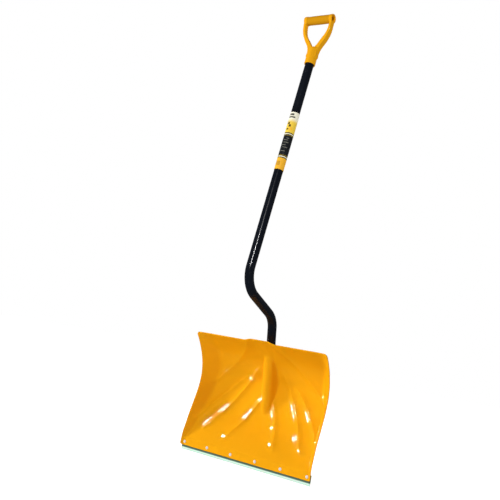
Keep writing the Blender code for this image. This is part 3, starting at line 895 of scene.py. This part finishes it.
class SHOVEL_OT_wear_strip(bpy.types.Operator):
    """Model the nylon strip behind the blade's lower edge"""

    bl_idname = "shovel.wear_strip"
    bl_label = "Wear Strip"

    def execute(self, context):
        deselect_all()
        middle = (STRIP_LOW + STRIP_HIGH) / 2
        bpy.ops.mesh.primitive_cube_add(size=1.0, location=middle)
        strip = context.object
        strip.name = "wear_strip_bar"
        strip.dimensions = STRIP_HIGH - STRIP_LOW
        bpy.ops.object.transform_apply(location=True, rotation=True, scale=True)
        edit_all()
        bpy.ops.mesh.bevel(offset=sizes().strip_edge, segments=3, affect="EDGES")
        for number in range(1 - STRIP_CUTS, STRIP_CUTS):
            cut = number / STRIP_CUTS * STRIP_HIGH.x
            bpy.ops.mesh.select_all(action="SELECT")
            bpy.ops.mesh.bisect(plane_co=(cut, 0.0, 0.0), plane_no=(1.0, 0.0, 0.0))
        bpy.ops.object.mode_set(mode="OBJECT")
        settle(strip, Matrix.Identity(4), 50)
        nylon = milky_nylon("strip_nylon", tuple(colours().strip))
        hand_over(strip, nylon, "strip_nylon", "wear_strip")
        return {"FINISHED"}


def facing_front(point):
    """Place at a point, with +Z pointing out of the blade's front face."""
    return Matrix.Translation(point) @ Matrix.Rotation(math.pi / 2, 4, "X")


class SHOVEL_OT_rivets(bpy.types.Operator):
    """Model one rivet and one washer, and copy them along the strip"""

    bl_idname = "shovel.rivets"
    bl_label = "Rivets"

    def execute(self, context):
        size = sizes()
        front = STRIP_LOW.y - FIT - size.sheet
        back = STRIP_HIGH.y - front
        washer_front = -(back + FIT)
        washer_back = washer_front - WASHER_THICKNESS
        tail = washer_back - FIT
        rivet = turned(
            "rivet_pattern",
            dome(size.rivet_head, size.rivet_rise, FIT)
            + [
                (size.rivet_head * 0.98, FIT * 0.6),
                (RIVET_SHANK, FIT * 0.5),
                (RIVET_SHANK, tail),
                (0.0031, tail),
                (0.0034, tail - 0.0004),
                (0.0032, tail - 0.0010),
                (0.0020, tail - 0.0014),
                (0.0012, tail - 0.0011),
            ],
            FIXING_SIDES,
        )
        washer = turned(
            "washer_pattern",
            [
                (WASHER_BORE, washer_front),
                (size.washer - WASHER_EASE, washer_front),
                (size.washer, washer_front - WASHER_EASE),
                (size.washer, washer_back + WASHER_EASE),
                (size.washer - WASHER_EASE, washer_back),
                (WASHER_BORE, washer_back),
            ],
            FIXING_SIDES,
        )
        metal = plain_metal("rivet_metal", tuple(colours().metal), 0.42, 1800.0)
        for index in range(RIVET_COUNT):
            x = (index - (RIVET_COUNT - 1) / 2) * RIVET_PITCH
            place = facing_front(Vector((x, front, LIP_Z + RIVET_RISE)))
            for pattern, title, node in (
                (rivet, "rivet_body", "rivet"),
                (washer, "washer_disc", "rivet_washer"),
            ):
                copy = pattern.copy()
                copy.data = pattern.data.copy()
                copy.name = f"{title}_{index + 1}"
                context.scene.collection.objects.link(copy)
                settle(copy, place, 35)
                hand_over(copy, metal, "rivet_metal", f"{node}_{index + 1}")
        for pattern in (rivet, washer):
            bpy.data.objects.remove(pattern, do_unlink=True)
        return {"FINISHED"}


class SHOVEL_OT_screws(bpy.types.Operator):
    """Model the two screws that hold the shaft in the socket and in the grip"""

    bl_idname = "shovel.screws"
    bl_label = "Screws"

    def execute(self, context):
        radius = sizes().screw_head
        steel = plain_metal("screw_steel", tuple(colours().steel), 0.28, 1500.0)
        wall = TUBE_RADIUS + FIT + SOCKET_WALL
        grip_place = shaft_place(GRIP_FOOT_Z) @ Matrix.Translation(UP * GRIP_SCREW_RISE)
        for title, node, matrix, distance in (
            ("socket_screw_body", "socket_screw", socket_place(SOCKET_SCREW_Z), wall),
            ("grip_screw_body", "grip_screw", grip_place, COLLAR_RADIUS),
        ):
            profile = [(radius * 0.35, FIT + SCREW_RISE), (radius * 0.70, FIT + 0.0024)]
            profile += [(radius * 0.92, FIT + 0.0018), (radius, FIT + 0.0009), (radius, FIT)]
            profile += [(SCREW_SHANK, FIT), (SCREW_SHANK, -0.0095), (0.0006, -0.0119)]
            screw = turned(title, profile, FIXING_SIDES)
            for turn in (0.0, math.pi / 2):
                deselect_all()
                top = (0.0, 0.0, FIT + SCREW_RISE)
                bpy.ops.mesh.primitive_cube_add(
                    size=1.0, location=top, rotation=(0.0, 0.0, turn)
                )
                slot = context.object
                slot.scale = SCREW_SLOT
                bpy.ops.object.transform_apply(location=True, rotation=True, scale=True)
                boolean(screw, slot, "DIFFERENCE")
            settle(screw, facing_back(matrix, distance), 35)
            hand_over(screw, steel, "screw_steel", node)
        return {"FINISHED"}


# --- Shaft, label and grip -------------------------------------------------------------


def bend_of(before, corner, after, radius):
    """A bend's start, end, centre, turning axis and angle."""
    back = (before - corner).normalized()
    ahead = (after - corner).normalized()
    turn = math.pi - back.angle(ahead)
    reach = radius * math.tan(turn / 2)
    centre = corner + (back + ahead).normalized() * (radius / math.cos(turn / 2))
    axis = ahead.cross(back).normalized()
    return corner + back * reach, corner + ahead * reach, centre, axis, turn


class SHOVEL_OT_shaft(bpy.types.Operator):
    """Draw the bent tube: a ring is extruded along the straights and spun round the bends"""

    bl_idname = "shovel.shaft"
    bl_label = "Shaft"

    def execute(self, context):
        top = shaft_place(SHAFT_TOP_Z)
        foot = socket_place(SHAFT_FOOT_Z + FIT).translation
        deselect_all()
        bpy.ops.mesh.primitive_circle_add(vertices=TUBE_SIDES, radius=TUBE_RADIUS)
        shaft = context.object
        shaft.name = "shaft_tube"
        shaft.data.transform(top)
        edit_all()
        at = top.translation
        for corner, after, radius in (
            (UPPER_CORNER, LOWER_CORNER_POINT, UPPER_BEND),
            (LOWER_CORNER_POINT, foot, LOWER_BEND),
        ):
            start, end, centre, axis, turn = bend_of(at, corner, after, radius)
            pieces = max(2, round((start - at).length / STRAIGHT_STEP))
            for _ in range(pieces):
                extrude_by((start - at) / pieces)
            bpy.ops.mesh.spin(steps=BEND_STEPS, angle=-turn, center=centre, axis=axis)
            at = end
        for _ in range(FOOT_STEPS):
            extrude_by((foot - at) / FOOT_STEPS)
        leave_edit(merge=True)
        add_wall(shaft, "Wall", sizes().tube_wall)
        apply_all(shaft)
        settle(shaft, Matrix.Identity(4), 40)
        paint = gloss_paint("shaft_paint", tuple(colours().paint))
        hand_over(shaft, paint, "shaft_paint", "shaft")
        return {"FINISHED"}


SHAFT_TILT = math.atan(SHAFT_LEAN)
LABEL_RADIUS = TUBE_RADIUS + FIT * 2
LABEL_DIP = LABEL_RADIUS * math.sin(SHAFT_TILT)
LABEL_LENGTH = (LABEL_HIGH.z - LABEL_LOW.z - 2 * LABEL_DIP) / math.cos(SHAFT_TILT)


def label_foot():
    """Place of the label's lower end, on the shaft's axis."""
    return shaft_place(LABEL_LOW.z + LABEL_DIP)


class SHOVEL_OT_label(bpy.types.Operator):
    """Wrap the printed sleeve round the upper shaft"""

    bl_idname = "shovel.label"
    bl_label = "Label"

    def execute(self, context):
        deselect_all()
        bpy.ops.mesh.primitive_circle_add(vertices=LABEL_SIDES, radius=LABEL_RADIUS)
        label = context.object
        label.name = "label_sleeve"
        edit_all()
        for _ in range(LABEL_RINGS):
            extrude_by(UP * LABEL_LENGTH / LABEL_RINGS)
        leave_edit()
        add_wall(label, "Film", FIT)
        apply_all(label)
        settle(label, label_foot(), 40)
        hand_over(label, printed_film("label_print", colours()), "label_print", "shaft_label")
        return {"FINISHED"}


def arm_shift(rise):
    """How far the arms lean forward of the shaft's axis at a height above the collar's foot."""
    share = (rise - COLLAR_LENGTH) / (BAR_RISE - COLLAR_LENGTH)
    return -BAR_FORWARD * float(smooth_step(share))


def make_arms():
    """Both arms of the grip as a thick flat outline with a hand gap, leaned forward."""
    curve = bpy.data.curves.new("arms", "CURVE")
    curve.dimensions = "2D"
    curve.fill_mode = "BOTH"
    curve.extrude = ARM_DEPTH / 2
    curve.resolution_u = 10
    for side, foot in ((ARM_OUTER, ()), (ARM_INNER, ((0.0, CROTCH_RISE),))):
        outline = [*side, *foot, *((-x, rise) for x, rise in reversed(side))]
        spline = curve.splines.new("BEZIER")
        spline.use_cyclic_u = True
        spline.bezier_points.add(len(outline) - 1)
        for point, place in zip(spline.bezier_points, outline):
            point.co = (*place, 0.0)
            kind = "VECTOR" if place[1] == side[0][1] else "AUTO"
            point.handle_left_type = kind
            point.handle_right_type = kind
    arms = bpy.data.objects.new("arms", curve)
    bpy.context.scene.collection.objects.link(arms)
    choose(arms)
    bpy.ops.object.convert(target="MESH")
    arms = bpy.context.object
    edit_all()
    leave_edit(merge=True)
    arms.data.transform(Matrix.Rotation(math.pi / 2, 4, "X"))
    for vert in arms.data.vertices:
        vert.co.y += arm_shift(vert.co.z)
    return arms


def bar_place():
    """Place of the bar's middle, with +Z pointing to +X."""
    middle = Matrix.Translation((0.0, -BAR_FORWARD, BAR_RISE))
    return middle @ Matrix.Rotation(math.pi / 2, 4, "Y")


def make_grip():
    """The D-grip: collar, arms and hollow-ended bar fused into one soft-edged moulding."""
    grip = make_arms()
    grip.name = "grip_moulding"
    shoulder = COLLAR_RADIUS * COLLAR_TAPER
    collar = turned(
        "collar",
        [
            (COLLAR_RADIUS - COLLAR_EASE, 0.0),
            (COLLAR_RADIUS, COLLAR_EASE),
            (shoulder, COLLAR_LENGTH),
            (shoulder * 0.86, COLLAR_LENGTH + 0.005),
            (shoulder * 0.5, COLLAR_LENGTH + 0.0085),
        ],
        TUBE_SIDES,
    )
    boolean(grip, collar, "UNION")
    waist = BAR_RADIUS - BAR_WAIST_DEPTH
    profile = [
        (BAR_RADIUS - BAR_EASE, -BAR_HALF_LENGTH),
        (BAR_RADIUS, -BAR_HALF_LENGTH + BAR_EASE),
        (BAR_RADIUS, -HOLD_OUTER),
        (waist, -HOLD_INNER),
        (waist + 0.0004, 0.0),
        (waist, HOLD_INNER),
        (BAR_RADIUS, HOLD_OUTER),
        (BAR_RADIUS, BAR_HALF_LENGTH - BAR_EASE),
        (BAR_RADIUS - BAR_EASE, BAR_HALF_LENGTH),
    ]
    bar = turned("bar", profile, TUBE_SIDES)
    bar.data.transform(bar_place())
    boolean(grip, bar, "UNION")
    bore_depth = (SHAFT_TOP_Z - GRIP_FOOT_Z) / math.cos(SHAFT_TILT) + FIT
    hole = TUBE_RADIUS + FIT
    bore = turned("bore", [(hole, -CUT_PAST), (hole, bore_depth)], TUBE_SIDES)
    boolean(grip, bore, "DIFFERENCE")
    for side in (-1, 1):
        ends = (side * BAR_HALF_LENGTH * 1.2, side * (BAR_HALF_LENGTH - BAR_RECESS_DEPTH))
        recess = turned("recess", [(BAR_RECESS_RADIUS, end) for end in ends], RECESS_SIDES)
        recess.data.transform(bar_place())
        boolean(grip, recess, "DIFFERENCE")
    fuse = grip.modifiers.new("Fuse", "REMESH")
    fuse.mode = "VOXEL"
    fuse.voxel_size = GRIP_VOXEL
    soften = grip.modifiers.new("Soften", "SMOOTH")
    soften.factor = 0.5
    soften.iterations = 5
    apply_all(grip)
    settle(grip, shaft_place(GRIP_FOOT_Z), 60)
    return grip


class SHOVEL_OT_grip(bpy.types.Operator):
    """Model the D-grip on the shaft's upper end"""

    bl_idname = "shovel.grip"
    bl_label = "Grip"

    def execute(self, context):
        grip = make_grip()
        underside = Vector((0.0, -BAR_FORWARD, BAR_RISE - BAR_RADIUS))
        bar_low = (shaft_place(GRIP_FOOT_Z) @ underside).z
        colour = tuple(colours().grip)
        plastic = moulded_plastic("grip_plastic", colour, 0.38, 700.0, bar_low_height=bar_low)
        hand_over(grip, plastic, "grip_plastic", "d_grip")
        return {"FINISHED"}


# --- Studio ----------------------------------------------------------------------------

CAMERA_PLACE = Vector((1.2393, -1.8687, 0.3487))
CAMERA_AHEAD = Vector((-0.5807, 0.8051, 0.1208))
CAMERA_ROLL = math.radians(10.3)
CAMERA_LENS = 54.6
CAMERA_SENSOR = 36.0
LIT_POINT = Vector((0.0, 0.0, 0.25))
GLEAM_SLANT = math.radians(-35)
FLOOR_SIZE = 24.0
FLOOR_DROP = 0.0004


def aim(eye, target, roll=0.0):
    """Place for a camera or a lamp that looks from one point to another."""
    look = (target - eye).normalized().to_track_quat("-Z", "Y").to_matrix().to_4x4()
    return Matrix.Translation(eye) @ look @ Matrix.Rotation(roll, 4, "Z")


def add_softbox(name, place, width, height, power, roll=0.0):
    """A rectangular light that faces the lit point."""
    deselect_all()
    bpy.ops.object.light_add(type="AREA")
    lamp = bpy.context.object
    lamp.name = name
    lamp.data.shape = "RECTANGLE"
    lamp.data.size = width
    lamp.data.size_y = height
    lamp.data.energy = power
    lamp.matrix_world = aim(Vector(place), LIT_POINT, roll)
    return lamp


def reach(lamp, *pieces):
    """Let a lamp light only the named pieces."""
    lit = bpy.data.collections.new(f"{lamp.name}_pieces")
    for piece in pieces:
        lit.objects.link(bpy.data.objects[piece])
    lamp.light_linking.receiver_collection = lit


def add_floor(settings):
    """A pale floor that looks white to the camera and gives off less light than that."""
    deselect_all()
    bpy.ops.mesh.primitive_plane_add(size=FLOOR_SIZE, location=(0.0, 0.0, -FLOOR_DROP))
    floor = bpy.context.object
    floor.name = "studio_floor"
    shade = Shade("floor_paint", Roughness=0.9, Emission_Strength=1.0)
    pale = tuple(settings.floor)
    tone = shade.mix(shade.noise(1.5, 3.0) * 0.1, pale, tinted(pale, 0.98))
    seen = shade.node("ShaderNodeLightPath")
    glow = shade.mix(seen, (settings.glow,) * 3, (1.0, 1.0, 1.0))
    shade.feed(Base_Color=tone, Emission_Color=glow)
    floor.data.materials.append(shade.material)
    floor.visible_glossy = False


def add_sky(scene, settings):
    """An even sky that looks white to the camera and lights the shovel faintly."""
    world = bpy.data.worlds.new("studio_sky")
    world.use_nodes = True
    nodes = world.node_tree.nodes
    links = world.node_tree.links
    sky = nodes["Background"]
    sky.inputs["Color"].default_value = (1.0, 1.0, 1.0, 1.0)
    path = nodes.new("ShaderNodeLightPath")
    level = nodes.new("ShaderNodeMapRange")
    level.inputs["To Min"].default_value = settings.sky
    level.inputs["To Max"].default_value = 1.0
    links.new(path.outputs["Is Camera Ray"], level.inputs["Value"])
    links.new(level.outputs[0], sky.inputs["Strength"])
    scene.world = world


def add_lamps(settings):
    """Soft lamps that leave no glint, and narrow ones for the glints on blade and shaft."""
    rivets = [f"rivet_body_{number + 1}" for number in range(RIVET_COUNT)]
    key = add_softbox("key_light", (-2.8, -1.2, 1.25), 0.4, 0.4, settings.key)
    fill = add_softbox("fill_light", (-0.2, -3.0, 1.5), 0.5, 0.5, settings.fill)
    reach(fill, "blade_moulding", *rivets)
    back = add_softbox("back_light", (1.2, 2.8, 1.8), 1.0, 1.0, settings.fill)
    for lamp in (key, fill, back):
        lamp.visible_glossy = False
    front = add_softbox("front_light", (0.9, -2.8, 1.75), 0.12, 0.5, settings.front)
    reach(front, "shaft_tube", "label_sleeve", "grip_moulding", "wear_strip_bar")
    for name, place, width, height, power, slant in (
        ("gleam_light_1", (-2.45, -0.85, 1.65), 0.17, 1.1, settings.gleam, GLEAM_SLANT),
        ("gleam_light_2", (-2.35, -1.35, 0.35), 0.12, 0.6, settings.gleam / 2, 0.0),
    ):
        gleam = add_softbox(name, place, width, height, power, slant)
        gleam.visible_diffuse = False
        reach(gleam, "blade_moulding")


def add_camera(scene):
    """The camera, a little rolled, before the hollow side."""
    scene.view_settings.view_transform = "Standard"
    camera = bpy.data.cameras.new("camera")
    camera.lens = CAMERA_LENS
    camera.sensor_width = CAMERA_SENSOR
    viewer = bpy.data.objects.new("camera", camera)
    scene.collection.objects.link(viewer)
    viewer.matrix_world = aim(CAMERA_PLACE, CAMERA_PLACE + CAMERA_AHEAD, CAMERA_ROLL)
    scene.camera = viewer


class SHOVEL_OT_studio(bpy.types.Operator):
    """Add the pale floor, the soft lights and the camera"""

    bl_idname = "shovel.studio"
    bl_label = "Studio"

    def execute(self, context):
        settings = context.scene.shovel_studio
        add_floor(settings)
        add_sky(context.scene, settings)
        add_lamps(settings)
        add_camera(context.scene)
        return {"FINISHED"}


# --- Panel and registration ------------------------------------------------------------

OPERATORS = (
    SHOVEL_OT_blade,
    SHOVEL_OT_wear_strip,
    SHOVEL_OT_rivets,
    SHOVEL_OT_screws,
    SHOVEL_OT_shaft,
    SHOVEL_OT_label,
    SHOVEL_OT_grip,
    SHOVEL_OT_studio,
)


class SHOVEL_PT_panel(bpy.types.Panel):
    """Sizes, colours and steps of the snow shovel"""

    bl_idname = "SHOVEL_PT_panel"
    bl_label = "Snow Shovel"
    bl_space_type = "VIEW_3D"
    bl_region_type = "UI"
    bl_category = "Shovel"

    def draw(self, context):
        layout = self.layout
        scene = context.scene
        for group in (scene.shovel_sizes, scene.shovel_colours, scene.shovel_studio):
            box = layout.box()
            for name in group.__annotations__:
                box.prop(group, name)
        for operator in OPERATORS:
            layout.operator(operator.bl_idname)


GROUPS = (
    ("shovel_sizes", ShovelSizes),
    ("shovel_colours", ShovelColours),
    ("shovel_studio", StudioSettings),
)


def register():
    for name, group in GROUPS:
        bpy.utils.register_class(group)
        setattr(bpy.types.Scene, name, PointerProperty(type=group))
    for item in (*OPERATORS, SHOVEL_PT_panel):
        bpy.utils.register_class(item)


def unregister():
    for item in reversed((*OPERATORS, SHOVEL_PT_panel)):
        bpy.utils.unregister_class(item)
    for name, group in reversed(GROUPS):
        delattr(bpy.types.Scene, name)
        bpy.utils.unregister_class(group)


def main():
    """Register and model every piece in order."""
    register()
    bpy.ops.shovel.blade()
    bpy.ops.shovel.wear_strip()
    bpy.ops.shovel.rivets()
    bpy.ops.shovel.screws()
    bpy.ops.shovel.shaft()
    bpy.ops.shovel.label()
    bpy.ops.shovel.grip()
    bpy.ops.shovel.studio()


if __name__ == "__main__":
    main()
